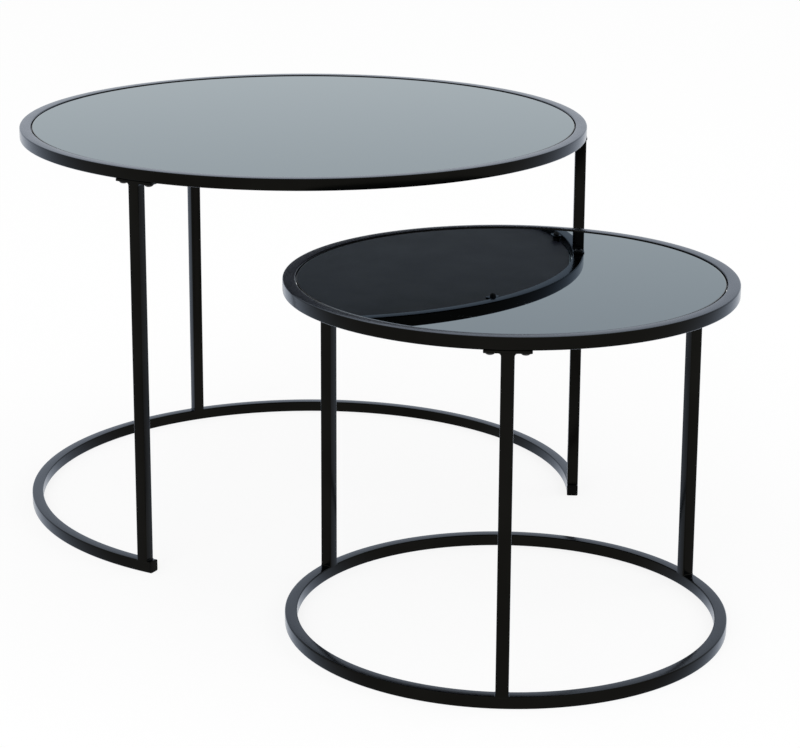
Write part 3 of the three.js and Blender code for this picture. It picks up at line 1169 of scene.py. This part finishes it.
def makeGlass(plan):
    name = plan["name"] + "_glass_disc"
    low, high = plan["glassBottom"], plan["glassTop"]
    radius = plan["glassRadius"]
    deselectAll()
    bpy.ops.mesh.primitive_cylinder_add(
        vertices=glassDisc["sides"], radius=radius, depth=high - low, end_fill_type="NGON",
        location=(0, 0, (low + high) / 2),
    )
    disc = named(name)
    freezePlace(disc)
    openMesh(disc)
    pick(disc, "edges", isLevel)
    bpy.ops.mesh.bevel(offset=glassDisc["arris"], segments=glassDisc["arrisSteps"], affect="EDGES")
    for height in (low, high):
        # two rings inside the flat, so that its shading stays even up to the rim
        def isFlat(face):
            return len(face.verts) > 4 and near(face.calc_center_median().z, height)

        pick(disc, "faces", isFlat)
        bpy.ops.mesh.inset(thickness=glassDisc["paintMargin"])
        bpy.ops.mesh.inset(thickness=radius * glassDisc["innerInset"])
    closeMesh()
    tidied(disc, sharpDegrees=25)
    moved(disc, onTable(plan, 0))
    layers = [glassFace, glassRimAndGapShade, backPaint]
    finished(disc, layers, plan["body"], [plan["name"] + "_glass_top"])
    for face in disc.data.polygons:
        away = (face.center - plan["centre"]).to_2d().length
        if not liesFlat(face):
            face.material_index = 1
        elif face.normal.z < 0 and away < radius - glassDisc["arris"] - glassDisc["paintMargin"]:
            face.material_index = 2


for plan in plans:
    makeGlass(plan)
print("glass laid")


# Floor, light and camera

studio = {
    "floorColour": (0.86, 0.86, 0.86, 1),
    "floorGlow": 1.07,
    "floorShown": 0.80,      # share of the glow in what the eye and the reflections see
    "roomLight": 0.7,        # of the white room, on the object
    "floorSize": 60.0,
    "lampAim": 0.3,          # height that the lamps point at
}


def lookedAt(tree):
    # 1 for what the camera, a reflection or clear glass sees, and 0 for rays that only carry light
    seen = node(tree, "ShaderNodeLightPath").outputs
    looked = maths(tree, "MAXIMUM", seen["Is Camera Ray"], seen["Is Glossy Ray"])
    return maths(tree, "MAXIMUM", looked, seen["Is Transmission Ray"])


def makeFloorMaterial():
    material = bpy.data.materials.new("paleFloor")
    material.use_nodes = True
    tree = material.node_tree
    tree.nodes.clear()
    diffuse = node(tree, "ShaderNodeBsdfDiffuse")
    diffuse.inputs["Color"].default_value = studio["floorColour"]
    glow = node(tree, "ShaderNodeEmission")
    glow.inputs["Strength"].default_value = studio["floorGlow"]
    mixed = node(tree, "ShaderNodeMixShader")
    feed(tree, mixed.inputs[0], maths(tree, "MULTIPLY", lookedAt(tree), studio["floorShown"]))
    tree.links.new(diffuse.outputs[0], mixed.inputs[1])
    tree.links.new(glow.outputs[0], mixed.inputs[2])
    tree.links.new(mixed.outputs[0], node(tree, "ShaderNodeOutputMaterial").inputs["Surface"])
    return material


def layFloor():
    deselectAll()
    bpy.ops.mesh.primitive_plane_add(size=studio["floorSize"], location=(0, 0, 0))
    floor = named("studio_floor")
    floor.data.materials.append(makeFloorMaterial())


def lightRoom():
    world = bpy.data.worlds.new("whiteRoom")
    bpy.context.scene.world = world
    world.use_nodes = True
    tree = world.node_tree
    tree.nodes.clear()
    strength = ranged(tree, lookedAt(tree), 0.0, 1.0, studio["roomLight"], 1.0)
    background = node(tree, "ShaderNodeBackground")
    background.inputs["Color"].default_value = (1, 1, 1, 1)
    feed(tree, background.inputs["Strength"], strength)
    tree.links.new(background.outputs[0], node(tree, "ShaderNodeOutputWorld").inputs["Surface"])


lamps = {
    "window_left": {"place": (-3.2, -2.4, 3.4), "size": 3.0, "power": 60},
    "window_right": {"place": (3.6, -1.6, 3.0), "size": 3.0, "power": 30},
}


def addLamp(name, place, size, power):
    deselectAll()
    bpy.ops.object.light_add(type="AREA", location=place)
    lamp = bpy.context.active_object
    lamp.name = name
    lamp.data.shape = "SQUARE"
    lamp.data.size = size
    lamp.data.energy = power
    lamp.visible_glossy = False    # glass and metal show the white room, not the lamps
    aim = Vector((0, 0, studio["lampAim"])) - Vector(place)
    lamp.rotation_euler = aim.to_track_quat("-Z", "Y").to_euler()


view = {
    "place": (-1.3615, -2.5425, 1.0648),
    "heading": 0.5005,       # turned from +Y towards +X
    "tilt": 0.2687,          # looking down
    "roll": 0.0053,
    "lens": 110.91,
    "sensor": 36.0,
    "rise": -0.06,           # vertical shift
}


def setCamera():
    deselectAll()
    bpy.ops.object.camera_add(location=view["place"])
    camera = bpy.context.active_object
    camera.name = "studio_camera"
    look = Euler((math.pi / 2 - view["tilt"], 0, -view["heading"])).to_matrix()
    roll = Matrix.Rotation(view["roll"], 3, "Z")
    camera.rotation_euler = (look @ roll).to_euler()
    camera.data.lens = view["lens"]
    camera.data.sensor_width = view["sensor"]
    camera.data.shift_y = view["rise"]
    bpy.context.scene.camera = camera


layFloor()
lightRoom()
for name, settings in lamps.items():
    addLamp(name, settings["place"], settings["size"], settings["power"])
setCamera()
bpy.context.scene.view_settings.view_transform = "Standard"
print("room lit")
